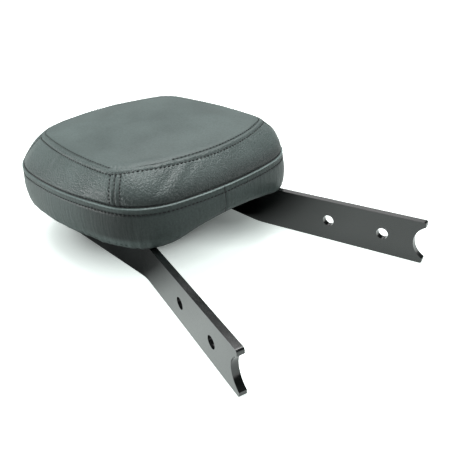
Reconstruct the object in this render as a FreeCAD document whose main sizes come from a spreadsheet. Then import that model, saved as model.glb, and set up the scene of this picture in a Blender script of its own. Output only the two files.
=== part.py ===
import FreeCAD, Part
import math
import os
import Sketcher

# Passenger backrest for a motorcycle: a bent flat-bar upright that carries an upholstered pad.
# The part lies on its back. Z points up out of the cushion face, Y points to the top of the pad,
# and X runs across the part, which is symmetric about X = 0. All sizes are millimetres.

doc = FreeCAD.newDocument("backrest")
sheet = doc.addObject("Spreadsheet::Sheet", "sizes")

SIZES = [
    # upright, one flat bar bent on its flat
    ("bar_width", "40"),
    ("bar_thick", "6"),
    ("bar_inset", "40"),
    ("bend_line", "-20.6"),
    ("bend_radius", "60"),
    ("leg_toe_angle", "13.7"),
    ("leg_reach", "165.3"),
    ("hoop_top", "157.5"),
    ("hoop_corner", "24"),
    # fixing holes and end notch of each leg, measured from the tip
    ("hole_near", "36.9"),
    ("hole_pitch", "52"),
    ("hole_dia", "10.5"),
    ("notch_radius", "17.5"),
    ("notch_depth", "9.3"),
    ("tip_round", "2"),
    # plan outline of the pad at the welt: four bowed sides and four corner arcs
    ("pad_half", "110.2"),
    ("pad_low", "-59"),
    ("pad_high", "178.9"),
    ("pad_low_round", "55.5"),
    ("pad_high_round", "86"),
    ("pad_side_bow", "310"),
    ("pad_low_bow", "303"),
    ("pad_high_bow", "398"),
    ("pad_widest", "75.2"),
    # outline of the face seam: how far it stands in from the welt, and its own arcs
    ("seam_side", "23.7"),
    ("seam_low", "22.2"),
    ("seam_high", "31.7"),
    ("face_low_round", "20"),
    ("face_high_round", "26"),
    ("face_side_bow", "406"),
    ("face_low_bow", "158"),
    ("face_high_bow", "145"),
    ("face_widest", "41.6"),
    # heights of the upholstery above the bar
    ("band_turn", "7"),
    ("band_belly", "22"),
    ("welt_height", "39.6"),
    ("box_mid", "53.2"),
    ("seam_height", "64.3"),
    ("crown_rise", "7"),
    # form of the band, the boxing and the crown
    ("base_inset", "5"),
    ("turn_inset", "0.6"),
    ("belly_out", "3"),
    ("mid_share", "0.54"),
    ("crown_middle_share", "0.66"),
    ("crown_inner_share", "0.28"),
    ("crown_shoulder_share", "0.6"),
    ("leather", "1.6"),
    # corner seams of the boxing, turned about a point on the centre line
    ("seam_hub", "59.5"),
    ("seam_angle_low", "48.3"),
    ("seam_angle_high", "50"),
    # moulded pan and the vault between the bars
    ("pan_thick", "5"),
    ("vault_gap", "0.2"),
    ("vault_rise", "13"),
    ("hem_width", "7"),
    # tabs and fixings
    ("tab_reach", "16.5"),
    ("tab_length", "30"),
    ("tab_thick", "4"),
    ("tab_hole_out", "10"),
    ("tab_low", "30"),
    ("tab_high", "104"),
    ("weld_leg", "3.5"),
    ("screw_dia", "6"),
    ("screw_gap", "0.3"),
    ("thread_gap", "0.05"),
    ("screw_head", "10"),
    ("head_height", "4"),
    ("socket_size", "4"),
    ("socket_depth", "2.2"),
    ("screw_past", "1"),
    ("washer_dia", "12"),
    ("washer_thick", "1.2"),
    ("spring_dia", "10.4"),
    ("spring_thick", "1.6"),
    ("nut_barrel", "8"),
    ("nut_flange", "18"),
    ("nut_flange_thick", "1.5"),
    ("nut_gap", "0.1"),
    ("foam_relief", "0.5"),
]
# sizes that follow from the ones above: the bar keeps its place inside the pad edge
FOLLOW = [
    ("side_offset", "=pad_half - bar_inset"),
    ("vault_half", "=side_offset - bar_thick / 2 - vault_gap"),
]
for row, (name, value) in enumerate(SIZES + FOLLOW, start=1):
    sheet.set("A%d" % row, name)
    sheet.set("B%d" % row, value)
    sheet.setAlias("B%d" % row, name)
doc.recompute()


def size(name):
    return float(sheet.get(name))


def cell(text):
    # puts the sheet in front of every size named in an expression
    names = [name for name, value in SIZES + FOLLOW]
    words = []
    word = ""
    for letter in text + " ":
        if letter.isalnum() or letter == "_":
            word += letter
            continue
        words.append("sizes." + word if word in names else word)
        words.append(letter)
        word = ""
    return "".join(words).strip()


def number(text):
    # the same expression worked out from the sheet, for the first guess of a sketch
    probe = doc.addObject("App::FeaturePython", "probe")
    probe.addProperty("App::PropertyFloat", "Answer")
    probe.setExpression("Answer", cell(text))
    doc.recompute([probe])
    answer = probe.Answer
    doc.removeObject("probe")
    return answer


def drive(sketch, constraint, text):
    index = sketch.addConstraint(constraint)
    sketch.setExpression("Constraints[%d]" % index, cell(text))


def new_body(label):
    body = doc.addObject("PartDesign::Body", label)
    body.Label = label
    return body


def plane(body, name):
    return [o for o in body.Origin.OriginFeatures if o.Role == name][0]


def new_sketch(body, label, base, lift="0"):
    sketch = body.newObject("Sketcher::SketchObject", label)
    sketch.AttachmentSupport = [(plane(body, base), "")]
    sketch.MapMode = "FlatFace"
    sketch.setExpression("AttachmentOffset.Base.z", cell(lift))
    return sketch


def vec(x, y):
    return FreeCAD.Vector(x, y, 0)


def join(sketch, a, a_end, b, b_end):
    sketch.addConstraint(Sketcher.Constraint("Coincident", a, a_end, b, b_end))


def smooth(sketch, a, a_end, b, b_end):
    sketch.addConstraint(Sketcher.Constraint("Tangent", a, a_end, b, b_end))


def place_x(sketch, item, end, text):
    drive(sketch, Sketcher.Constraint("DistanceX", -1, 1, item, end, number(text)), text)


def place_y(sketch, item, end, text):
    drive(sketch, Sketcher.Constraint("DistanceY", -1, 1, item, end, number(text)), text)


def polygon(sketch, corners):
    # straight outline whose corners are pairs of expressions
    spots = [vec(number(x), number(y)) for x, y in corners]
    for i, spot in enumerate(spots):
        sketch.addGeometry(Part.LineSegment(spot, spots[(i + 1) % len(spots)]), False)
    for i in range(len(spots)):
        join(sketch, i, 2, (i + 1) % len(spots), 1)
    for i, (x, y) in enumerate(corners):
        place_x(sketch, i, 1, x)
        place_y(sketch, i, 1, y)


def corner_hub(first, first_bow, second, second_bow, rounding):
    # centre of the corner arc that touches two side arcs from inside, anticlockwise from the first to the second
    gap = second - first
    run = ((first_bow - rounding) ** 2 - (second_bow - rounding) ** 2 + gap.Length ** 2) / (2 * gap.Length)
    rise = math.sqrt((first_bow - rounding) ** 2 - run ** 2)
    along = FreeCAD.Vector(gap).normalize()
    return first + along * run + vec(-along.y, along.x) * rise


def ring(body, label, lift, half, low, high, low_round, high_round, side_bow, low_bow, high_bow, widest):
    # outline symmetric about the centre line: four bowed sides and four corner arcs, all tangent
    sketch = new_sketch(body, label, "XY_Plane", lift)
    up = FreeCAD.Vector(0, 0, 1)
    side_hub = half + " - (" + side_bow + ")"
    hubs = [("0", low + " + " + low_bow), (side_hub, widest),
            ("0", high + " - (" + high_bow + ")"), ("-(" + side_hub + ")", widest)]
    bows = [low_bow, side_bow, high_bow, side_bow]
    rounds = [low_round, high_round, high_round, low_round]
    spots = [vec(number(x), number(y)) for x, y in hubs]
    bow = [number(text) for text in bows]
    rounding = [number(text) for text in rounds]
    corners = [corner_hub(spots[i], bow[i], spots[(i + 1) % 4], bow[(i + 1) % 4], rounding[i]) for i in range(4)]

    def heading(start, end):
        return math.atan2(end.y - start.y, end.x - start.x)

    def arc(hub, radius, start, end):
        if end < start:
            end += 2 * math.pi
        sketch.addGeometry(Part.ArcOfCircle(Part.Circle(hub, up, radius), start, end), False)

    for i in range(4):
        arc(spots[i], bow[i], heading(spots[i], corners[i - 1]), heading(spots[i], corners[i]))
        arc(corners[i], rounding[i], heading(spots[i], corners[i]), heading(spots[(i + 1) % 4], corners[i]))
    for i in range(8):
        smooth(sketch, i, 2, (i + 1) % 8, 1)
    for i in range(4):
        drive(sketch, Sketcher.Constraint("Radius", 2 * i, bow[i]), bows[i])
        drive(sketch, Sketcher.Constraint("Radius", 2 * i + 1, rounding[i]), rounds[i])
        place_x(sketch, 2 * i, 3, hubs[i][0])
        place_y(sketch, 2 * i, 3, hubs[i][1])
    return sketch


def loft(label, rings):
    # one smooth solid through a stack of outlines
    body = new_body(label)
    sketches = [ring(body, "%s_ring_%d" % (label, i), *r) for i, r in enumerate(rings)]
    feature = body.newObject("PartDesign::AdditiveLoft", label + "_loft")
    feature.Profile = sketches[0]
    feature.Sections = sketches[1:]
    feature.Ruled = False
    body.Tip = feature
    return body


WELT = ("pad_half", "pad_low", "pad_high", "pad_low_round", "pad_high_round",
        "pad_side_bow", "pad_low_bow", "pad_high_bow", "pad_widest")
FACE = ("pad_half - seam_side", "pad_low + seam_low", "pad_high - seam_high", "face_low_round", "face_high_round",
        "face_side_bow", "face_low_bow", "face_high_bow", "face_widest")


def drawn_in(outline, amount):
    # the outline moved in by the same amount all round
    half, low, high, low_round, high_round, side_bow, low_bow, high_bow, widest = outline
    less = " - (" + amount + ")"
    return (half + less, low + " + (" + amount + ")", high + less, low_round + less, high_round + less,
            side_bow + less, low_bow + less, high_bow + less, widest)


def between(first, second, share):
    return tuple("(%s) * (1 - %s) + (%s) * %s" % (a, share, b, share) for a, b in zip(first, second))


def scaled(outline, share):
    # the outline drawn in towards its own middle
    half, low, high, low_round, high_round, side_bow, low_bow, high_bow, widest = outline
    middle = "((%s) + (%s)) / 2" % (low, high)

    def spot(text):
        return "%s + ((%s) - %s) * %s" % (middle, text, middle, share)

    def length(text):
        return "(%s) * %s" % (text, share)

    return (length(half), spot(low), spot(high), length(low_round), length(high_round),
            length(side_bow), length(low_bow), length(high_bow), spot(widest))


def pad_levels(skin):
    # stacks of outlines of the band, the boxing and the crown, at a depth below the outside of the leather
    welt = drawn_in(WELT, skin)
    face = drawn_in(FACE, skin)
    crown_top = "bar_width + seam_height - " + skin + " + crown_rise"
    base = ("bar_width",) + drawn_in(welt, "base_inset")
    turn = ("bar_width + band_turn",) + drawn_in(welt, "turn_inset")
    belly = ("bar_width + band_belly",) + drawn_in(welt, "-belly_out")
    edge = ("bar_width + welt_height",) + welt
    mid = ("bar_width + box_mid",) + between(welt, face, "mid_share")
    seam = ("bar_width + seam_height",) + face
    shoulder = (crown_top + " * crown_shoulder_share",) + scaled(face, "crown_middle_share")
    peak = (crown_top,) + scaled(face, "crown_inner_share")
    return (base, turn, belly, edge), (edge, mid, seam), (seam, shoulder, peak)


def below(label, lift):
    # everything under the vaulted line that lies above the bar edge by the given amount
    body = new_body(label)
    sketch = new_sketch(body, label + "_line", "XZ_Plane")
    far = "pad_half * 1.5"
    wing = "bar_width + " + lift
    radius = "(vault_half ^ 2 + vault_rise ^ 2) / (2 * vault_rise)"
    hub = "bar_width + vault_rise - " + radius
    reach, flat, r, c = number(far), number(wing), number(radius + " + " + lift), number(hub)
    edge = math.sqrt(r ** 2 - (flat - c) ** 2)
    start = math.atan2(flat - c, edge)
    circle = Part.Circle(vec(0, c), FreeCAD.Vector(0, 0, 1), r)
    sketch.addGeometry(Part.LineSegment(vec(-reach, 0), vec(reach, 0)), False)
    sketch.addGeometry(Part.LineSegment(vec(reach, 0), vec(reach, flat)), False)
    sketch.addGeometry(Part.LineSegment(vec(reach, flat), vec(edge, flat)), False)
    sketch.addGeometry(Part.ArcOfCircle(circle, start, math.pi - start), False)
    sketch.addGeometry(Part.LineSegment(vec(-edge, flat), vec(-reach, flat)), False)
    sketch.addGeometry(Part.LineSegment(vec(-reach, flat), vec(-reach, 0)), False)
    for i in range(6):
        join(sketch, i, 2, (i + 1) % 6, 1)
    for i in (0, 2, 4):
        sketch.addConstraint(Sketcher.Constraint("Horizontal", i))
    for i in (1, 5):
        sketch.addConstraint(Sketcher.Constraint("Vertical", i))
    place_x(sketch, 1, 1, far)
    place_x(sketch, 5, 1, "-(" + far + ")")
    place_y(sketch, 0, 1, "0")
    place_y(sketch, 2, 1, wing)
    place_y(sketch, 4, 2, wing)
    sketch.addConstraint(Sketcher.Constraint("PointOnObject", 3, 3, -2))
    place_y(sketch, 3, 3, hub)
    drive(sketch, Sketcher.Constraint("Radius", 3, r), radius + " + " + lift)
    pad = body.newObject("PartDesign::Pad", label + "_pad")
    pad.Profile = sketch
    pad.Midplane = True
    pad.setExpression("Length", cell("4 * pad_high"))
    body.Tip = pad
    return body


def boolean(kind, label, base, tool):
    result = doc.addObject("Part::" + kind, label)
    result.Label = label
    result.Base = base
    result.Tool = tool
    return result


def fuse(label, items):
    result = doc.addObject("Part::MultiFuse", label)
    result.Label = label
    result.Shapes = items
    return result


# upright: half of the bar is swept along its bent line, then mirrored
upright = new_body("upright_bar")
path = new_sketch(upright, "bar_line", "XY_Plane", "bar_width / 2")
offset, top, corner = size("side_offset"), size("hoop_top"), size("hoop_corner")
bend, toe = size("bend_radius"), math.radians(size("leg_toe_angle"))
bend_hub = size("bend_line") + bend * math.tan(toe / 2)
straight = size("leg_reach") - bend * math.tan(toe / 2)
normal = FreeCAD.Vector(0, 0, 1)
bend_end = vec(offset + bend - bend * math.cos(toe), bend_hub - bend * math.sin(toe))
tip_end = bend_end + vec(straight * math.sin(toe), -straight * math.cos(toe))
corner_circle = Part.Circle(vec(offset - corner, top - corner), normal, corner)
bend_circle = Part.Circle(vec(offset + bend, bend_hub), normal, bend)
path.addGeometry(Part.LineSegment(vec(0, top), vec(offset - corner, top)), False)
path.addGeometry(Part.ArcOfCircle(corner_circle, 0, math.pi / 2), False)
path.addGeometry(Part.LineSegment(vec(offset, top - corner), vec(offset, bend_hub)), False)
path.addGeometry(Part.ArcOfCircle(bend_circle, math.pi, math.pi + toe), False)
path.addGeometry(Part.LineSegment(bend_end, tip_end), False)
smooth(path, 0, 2, 1, 2)
smooth(path, 1, 1, 2, 1)
smooth(path, 2, 2, 3, 1)
smooth(path, 3, 2, 4, 1)
path.addConstraint(Sketcher.Constraint("PointOnObject", 0, 1, -2))
path.addConstraint(Sketcher.Constraint("Horizontal", 0))
path.addConstraint(Sketcher.Constraint("Vertical", 2))
place_x(path, 2, 1, "side_offset")
place_y(path, 0, 1, "hoop_top")
drive(path, Sketcher.Constraint("Radius", 1, corner), "hoop_corner")
drive(path, Sketcher.Constraint("Radius", 3, bend), "bend_radius")
place_y(path, 3, 3, "bend_line + bend_radius * tan(leg_toe_angle * 1deg / 2)")
leg_run = "(leg_reach - bend_radius * tan(leg_toe_angle * 1deg / 2))"
across = leg_run + " * sin(leg_toe_angle * 1deg)"
along = "-" + leg_run + " * cos(leg_toe_angle * 1deg)"
drive(path, Sketcher.Constraint("DistanceX", 4, 1, 4, 2, number(across)), across)
drive(path, Sketcher.Constraint("DistanceY", 4, 1, 4, 2, number(along)), along)

section = new_sketch(upright, "bar_section", "YZ_Plane")
polygon(section, [
    ("hoop_top - bar_thick / 2", "0"),
    ("hoop_top + bar_thick / 2", "0"),
    ("hoop_top + bar_thick / 2", "bar_width"),
    ("hoop_top - bar_thick / 2", "bar_width"),
])
bar = upright.newObject("PartDesign::AdditivePipe", "bar_sweep")
bar.Profile = section
bar.Spine = (path, [])
doc.recompute()


def leg_sketch(label):
    # sketch in the middle plane of the leg: its origin is the bend, the tip is at minus leg_reach
    sketch = new_sketch(upright, label, "YZ_Plane", "side_offset")
    sketch.setExpression("AttachmentOffset.Base.x", cell("bend_line"))
    sketch.setExpression("AttachmentOffset.Rotation.Axis.x", "0")
    sketch.setExpression("AttachmentOffset.Rotation.Axis.y", "1")
    sketch.setExpression("AttachmentOffset.Rotation.Axis.z", "0")
    sketch.setExpression("AttachmentOffset.Rotation.Angle", cell("leg_toe_angle * 1deg"))
    return sketch


def leg_circle(sketch, x, radius):
    index = sketch.addGeometry(Part.Circle(vec(number(x), number("bar_width / 2")), normal, number(radius)), False)
    place_x(sketch, index, 3, x)
    place_y(sketch, index, 3, "bar_width / 2")
    drive(sketch, Sketcher.Constraint("Radius", index, number(radius)), radius)


def leg_cut(label, sketch):
    pocket = upright.newObject("PartDesign::Pocket", label)
    pocket.Profile = sketch
    pocket.Midplane = True
    pocket.setExpression("Length", cell("bar_thick * 3"))
    doc.recompute()
    return pocket


holes = leg_sketch("leg_holes")
leg_circle(holes, "hole_near - leg_reach", "hole_dia / 2")
leg_circle(holes, "hole_near + hole_pitch - leg_reach", "hole_dia / 2")
hole_cut = leg_cut("leg_hole_cut", holes)
notch = leg_sketch("leg_notch")
leg_circle(notch, "notch_depth - notch_radius - leg_reach", "notch_radius")
notch_cut = leg_cut("leg_notch_cut", notch)

# the two outer corners of the tip are rounded
tip_point = FreeCAD.Vector(tip_end.x, tip_end.y, 0)
tip_edges = []
near = size("tip_round")
for i, edge in enumerate(notch_cut.Shape.Edges, start=1):
    middle = edge.CenterOfMass
    flat_gap = math.hypot(middle.x - tip_point.x, middle.y - tip_point.y)
    at_rim = min(abs(middle.z), abs(middle.z - size("bar_width"))) < near
    if flat_gap < near and at_rim and abs(edge.Length - size("bar_thick")) < near:
        tip_edges.append("Edge%d" % i)
rounded = upright.newObject("PartDesign::Fillet", "tip_rounding")
rounded.Base = (notch_cut, tip_edges)
rounded.setExpression("Radius", cell("tip_round"))
doc.recompute()

both = upright.newObject("PartDesign::Mirrored", "both_halves")
both.Originals = [bar, hole_cut, notch_cut, rounded]
both.MirrorPlane = (plane(upright, "YZ_Plane"), [""])
upright.Tip = both
doc.recompute()

# upholstery: solids through the outlines, once to the outside and once to the inside of the leather
outer_band, outer_boxing, outer_crown = pad_levels("0")
inner_band, inner_boxing, inner_crown = pad_levels("leather")
band_out = loft("band_outside", outer_band)
band_in = loft("band_inside", inner_band)
boxing_out = loft("boxing_outside", outer_boxing)
boxing_in = loft("boxing_inside", inner_boxing)
crown_out = loft("crown_outside", outer_crown)
crown_in = loft("crown_inside", inner_crown)
under_hem = below("under_hem", "0")
under_pan = below("under_pan", "leather")
under_foam = below("under_foam", "leather + pan_thick")
doc.recompute()

center_panel = boolean("Cut", "center_panel", crown_out, crown_in)
boxing_shell = boolean("Cut", "boxing_shell", boxing_out, boxing_in)


def wedge(label, first, second):
    body = new_body(label)
    sketch = new_sketch(body, label + "_plan", "XY_Plane")
    polygon(sketch, [("0", "seam_hub"), first, second])
    pad = body.newObject("PartDesign::Pad", label + "_pad")
    pad.Profile = sketch
    pad.setExpression("Length", cell("bar_width + seam_height * 2"))
    body.Tip = pad
    return body


def seam_far(side, turn, way):
    # a point well outside the pad along a corner seam
    reach = "4 * pad_half"
    return ("%s%s * sin(%s * 1deg)" % (side, reach, turn),
            "seam_hub %s %s * cos(%s * 1deg)" % (way, reach, turn))


low_left = seam_far("-", "seam_angle_low", "-")
low_right = seam_far("", "seam_angle_low", "-")
high_left = seam_far("-", "seam_angle_high", "+")
high_right = seam_far("", "seam_angle_high", "+")
panels = []
for name, first, second in (("bottom", low_left, low_right), ("right", low_right, high_right),
                            ("top", high_right, high_left), ("left", high_left, low_left)):
    sector = wedge("sector_" + name, first, second)
    panels.append(boolean("Common", "boxing_" + name, boxing_shell, sector))

# side band with the hem that is turned under the pan
hem_open = new_body("hem_opening")
hem_ring = ring(hem_open, "hem_inner_line", "0", *drawn_in(WELT, "base_inset + hem_width + leather"))
hem_pad = hem_open.newObject("PartDesign::Pad", "hem_opening_pad")
hem_pad.Profile = hem_ring
hem_pad.setExpression("Length", cell("bar_width + welt_height"))
hem_open.Tip = hem_pad
band_shell = boolean("Cut", "band_shell", boolean("Cut", "band_tube", band_out, band_in), under_hem)
hem_sheet = boolean("Cut", "hem_sheet", boolean("Common", "hem_slab", band_out, under_pan), under_hem)
hem = boolean("Cut", "hem", hem_sheet, hem_open)
side_band = fuse("side_band", [band_shell, hem])

# fixings: one of each is built at the origin of its own body, with its axis on Z
HOLE_OUT = "side_offset + bar_thick / 2 + tab_hole_out"


def turned(label, profile):
    # a turned piece: the profile is radius and height pairs
    body = new_body(label)
    sketch = new_sketch(body, label + "_profile", "XZ_Plane")
    polygon(sketch, profile)
    turn = body.newObject("PartDesign::Revolution", label + "_turn")
    turn.Profile = sketch
    turn.ReferenceAxis = (sketch, ["V_Axis"])
    turn.Angle = 360
    body.Tip = turn
    return body


TAB_TOP = "bar_width + leather"
PAN_TOP = "bar_width + leather + pan_thick"
WASHER_TOP = "(bar_width + leather - tab_thick)"
SPRING_TOP = "(" + WASHER_TOP + " - washer_thick)"
HEAD_TOP = "(" + SPRING_TOP + " - spring_thick)"
SHANK_TOP = PAN_TOP + " + nut_flange_thick + screw_past"

one_screw = turned("one_screw", [
    ("0", HEAD_TOP + " - head_height"),
    ("screw_head / 2", HEAD_TOP + " - head_height"),
    ("screw_head / 2", HEAD_TOP),
    ("screw_dia / 2", HEAD_TOP),
    ("screw_dia / 2", SHANK_TOP),
    ("0", SHANK_TOP),
])
socket = new_sketch(one_screw, "socket_outline", "XY_Plane", HEAD_TOP + " - head_height")
polygon(socket, [("socket_size * %.4f" % (math.cos(i * math.pi / 3) / math.sqrt(3)),
                  "socket_size * %.4f" % (math.sin(i * math.pi / 3) / math.sqrt(3))) for i in range(6)])
doc.recompute()
socket_cut = one_screw.newObject("PartDesign::Pocket", "socket_cut")
socket_cut.Profile = socket
socket_cut.Reversed = True
socket_cut.setExpression("Length", cell("socket_depth"))
one_screw.Tip = socket_cut


def flat_ring(label, inner, outer, bottom, height):
    return turned(label, [(inner, bottom), (outer, bottom), (outer, bottom + " + " + height),
                          (inner, bottom + " + " + height)])


one_washer = flat_ring("one_washer", "screw_dia / 2 + screw_gap", "washer_dia / 2", SPRING_TOP, "washer_thick")
one_spring = flat_ring("one_spring", "screw_dia / 2 + screw_gap", "spring_dia / 2", HEAD_TOP, "spring_thick")
one_nut = turned("one_nut", [
    ("screw_dia / 2 + thread_gap", TAB_TOP),
    ("nut_barrel / 2", TAB_TOP),
    ("nut_barrel / 2", PAN_TOP),
    ("nut_flange / 2", PAN_TOP),
    ("nut_flange / 2", PAN_TOP + " + nut_flange_thick"),
    ("screw_dia / 2 + thread_gap", PAN_TOP + " + nut_flange_thick"),
])
nut_room = turned("nut_room", [
    ("0", TAB_TOP + " - leather"),
    ("nut_barrel / 2 + nut_gap", TAB_TOP + " - leather"),
    ("nut_barrel / 2 + nut_gap", PAN_TOP),
    ("nut_flange / 2 + foam_relief", PAN_TOP),
    ("nut_flange / 2 + foam_relief", PAN_TOP + " + nut_flange_thick + foam_relief"),
    ("screw_dia / 2 + foam_relief", PAN_TOP + " + nut_flange_thick + foam_relief"),
    ("screw_dia / 2 + foam_relief", SHANK_TOP + " + foam_relief"),
    ("0", SHANK_TOP + " + foam_relief"),
])
doc.recompute()


def fixing_spots():
    out = size("side_offset") + size("bar_thick") / 2 + size("tab_hole_out")
    return [FreeCAD.Vector(x, y, 0) for y in (size("tab_low"), size("tab_high")) for x in (-out, out)]


def set_of(label, shape):
    # a set of equal pieces, one at each fixing
    group = doc.addObject("Part::Feature", label)
    group.Label = label
    copies = []
    for spot in fixing_spots():
        copy = shape.copy()
        copy.translate(spot)
        copies.append(copy)
    group.Shape = Part.makeCompound(copies)
    group.Placement = FreeCAD.Placement()
    return group


screws = set_of("pad_screws", one_screw.Shape)
washers = set_of("flat_washers", one_washer.Shape)
springs = set_of("spring_washers", one_spring.Shape)
nuts = set_of("tee_nuts", one_nut.Shape)
nut_rooms = set_of("nut_rooms", nut_room.Shape)

# tabs that carry the pan, and the weld under each
tabs = []
welds = []
for side, turn in (("left", -1), ("right", 1)):
    for end in ("low", "high"):
        label = "pad_tab_%s_%s" % (side, end)
        plate = doc.addObject("Part::Box", label + "_plate")
        plate.setExpression("Length", cell("tab_reach"))
        plate.setExpression("Width", cell("tab_length"))
        plate.setExpression("Height", cell("tab_thick"))
        inner = "side_offset + bar_thick / 2"
        start = inner if turn > 0 else "-(%s + tab_reach)" % inner
        plate.setExpression("Placement.Base.x", cell(start))
        plate.setExpression("Placement.Base.y", cell("tab_%s - tab_length / 2" % end))
        plate.setExpression("Placement.Base.z", cell(WASHER_TOP))
        bore = doc.addObject("Part::Cylinder", label + "_bore")
        bore.setExpression("Radius", cell("screw_dia / 2 + screw_gap"))
        bore.setExpression("Height", cell("tab_thick * 3"))
        bore.setExpression("Placement.Base.x", cell("%d * (%s)" % (turn, HOLE_OUT)))
        bore.setExpression("Placement.Base.y", cell("tab_%s" % end))
        bore.setExpression("Placement.Base.z", cell(WASHER_TOP + " - tab_thick"))
        tabs.append(boolean("Cut", label, plate, bore))
        bead = new_body("weld_%s_%s" % (side, end))
        bead_line = new_sketch(bead, "weld_line_%s_%s" % (side, end), "XZ_Plane", "-tab_%s" % end)
        polygon(bead_line, [
            ("%d * (%s)" % (turn, inner), WASHER_TOP),
            ("%d * (%s)" % (turn, inner), WASHER_TOP + " - weld_leg"),
            ("%d * (%s + weld_leg)" % (turn, inner), WASHER_TOP),
        ])
        bead_pad = bead.newObject("PartDesign::Pad", "weld_pad_%s_%s" % (side, end))
        bead_pad.Profile = bead_line
        bead_pad.Midplane = True
        bead_pad.setExpression("Length", cell("tab_length"))
        bead.Tip = bead_pad
        welds.append(bead)
tab_welds = doc.addObject("Part::Compound", "tab_welds")
tab_welds.Label = "tab_welds"
tab_welds.Links = welds

# pan and foam fill the inside of the leather
pan_sheet = boolean("Cut", "pan_sheet", boolean("Common", "pan_slab", band_in, under_foam), under_pan)
base_pan = boolean("Cut", "base_pan", pan_sheet, nut_rooms)
stuffing = fuse("stuffing", [band_in, boxing_in, crown_in])
foam_block = boolean("Cut", "foam_block", stuffing, under_foam)
foam_core = boolean("Cut", "foam_core", foam_block, nut_rooms)
doc.recompute()

pieces = [upright, base_pan, foam_core, center_panel] + panels + [side_band] + tabs
pieces += [tab_welds, screws, washers, springs, nuts]
for item in doc.Objects:
    if "Invalid" in item.State or "Error" in item.State:
        raise RuntimeError("%s is not built: %s" % (item.Label, item.State))
os.makedirs("parts", exist_ok=True)
for piece in pieces:
    shape = piece.Shape
    if shape.isNull() or not shape.isValid() or not shape.Solids:
        raise RuntimeError("%s has no sound solid" % piece.Label)
    shape.exportStep("parts/%s.step" % piece.Label)
    box = shape.BoundBox
    print("%-22s solids %d volume %.0f x %.1f..%.1f y %.1f..%.1f z %.1f..%.1f" % (
        piece.Label, len(shape.Solids), shape.Volume,
        box.XMin, box.XMax, box.YMin, box.YMax, box.ZMin, box.ZMax))
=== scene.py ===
import math

import bpy
import numpy as np
from mathutils import Matrix, Quaternion, Vector
from mathutils.bvhtree import BVHTree


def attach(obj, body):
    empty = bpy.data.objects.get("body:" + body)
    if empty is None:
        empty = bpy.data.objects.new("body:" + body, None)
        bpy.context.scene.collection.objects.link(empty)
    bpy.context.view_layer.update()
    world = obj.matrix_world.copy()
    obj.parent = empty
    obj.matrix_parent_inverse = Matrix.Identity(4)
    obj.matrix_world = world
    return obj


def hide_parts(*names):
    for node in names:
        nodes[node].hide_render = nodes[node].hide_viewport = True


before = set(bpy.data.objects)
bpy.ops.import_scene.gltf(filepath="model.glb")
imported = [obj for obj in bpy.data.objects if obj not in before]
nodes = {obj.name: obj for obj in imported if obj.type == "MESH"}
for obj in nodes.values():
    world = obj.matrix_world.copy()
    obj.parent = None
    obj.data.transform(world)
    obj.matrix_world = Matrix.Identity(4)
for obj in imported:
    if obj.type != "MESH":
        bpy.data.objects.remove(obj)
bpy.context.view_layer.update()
MM = 0.001
FAR, TINY = 1e6, 1e-9

# sizes of the part in millimetres, as in its source
BAR_WIDTH = 40.0
WELT_Z, SEAM_Z, CROWN = 79.6, 104.3, 7.0
VAULT_HALF, VAULT_RISE = 67.0, 13.0
PAD_MIDDLE = 60.0
# outlines: half width, low end, high end, corner radii low and high,
# bows of the side, the low and the high end, and the widest place
WELT = np.array([110.2, -59.0, 178.9, 55.5, 86.0, 310.0, 303.0, 398.0, 75.2])
FACE = np.array([86.5, -36.8, 147.2, 20.0, 26.0, 406.0, 158.0, 145.0, 41.6])
# how each of these changes where an outline is drawn in by one millimetre
INWARD = np.array([-1, 1, -1, -1, -1, -1, -1, -1, 0])
# the corner seams run out from a hub, at these turns in degrees from the low end
HUB_Y = 59.5
LOW_TURN, HIGH_TURN = 48.3, 50.0
CORNER_TURNS = (LOW_TURN, 180.0 - HIGH_TURN, 180.0 + HIGH_TURN, 360.0 - LOW_TURN)
# the band is joined at this place on its low side
JOINT_X = -10.0
# stitch pitch, and the distance of each row of stitches from its seam
STITCH = 3.7
TOP_ROW, SIDE_ROW, BAND_ROW = 5.6, 4.6, 6.4

# noise that is the same on every run
HASH_X, HASH_Y, HASH_Z = 374761393, 668265263, 2147483647
HASH_START, HASH_STIR = 1013904223, 1274126177
WORD, HALF_WORD = 0xFFFFFFFF, 0xFFFF


def hash3(ix, iy, iz):
    n = (ix * HASH_X + iy * HASH_Y + iz * HASH_Z + HASH_START) & WORD
    n = ((n ^ (n >> 13)) * HASH_STIR) & WORD
    return ((n ^ (n >> 16)) & HALF_WORD) / HALF_WORD


def ease(t):
    return t * t * (3 - 2 * t)


def noise(x, y, layer):
    """Smooth value noise, -1 to 1, over x and y counted in waves; every layer differs."""
    x, y, z = np.broadcast_arrays(*(np.asarray(a, float) for a in (x, y, layer)))
    ix, iy, iz = (np.floor(a).astype(np.int64) for a in (x, y, z))
    fx, fy, fz = (ease(f) for f in (x - ix, y - iy, z - iz))
    total = 0
    for dx in (0, 1):
        for dy in (0, 1):
            for dz in (0, 1):
                weight = (fx if dx else 1 - fx) * (fy if dy else 1 - fy) * (fz if dz else 1 - fz)
                total = total + weight * hash3(ix + dx, iy + dy, iz + dz)
    return total * 2 - 1


def bell(x, width):
    return np.exp(-(x / width) ** 2)


def ridge(run, at=0.0, height=1.0, width=1.0):
    """A rounded ridge at one place of a run, or a groove where the height is negative."""
    return height * bell(run - at, width)


def slope_up(value, start, over):
    return np.clip((value - start) / over, 0, 1)


def slope_down(value, end, over):
    return np.clip((end - value) / over, 0, 1)


def rise(value, start, over):
    return ease(slope_up(value, start, over))


def fall(value, end, over):
    return ease(slope_down(value, end, over))


# points on the arcs of half an outline, from the middle of the bottom edge round by +X
COUNTS = (64, 60, 116, 90, 56)


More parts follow.
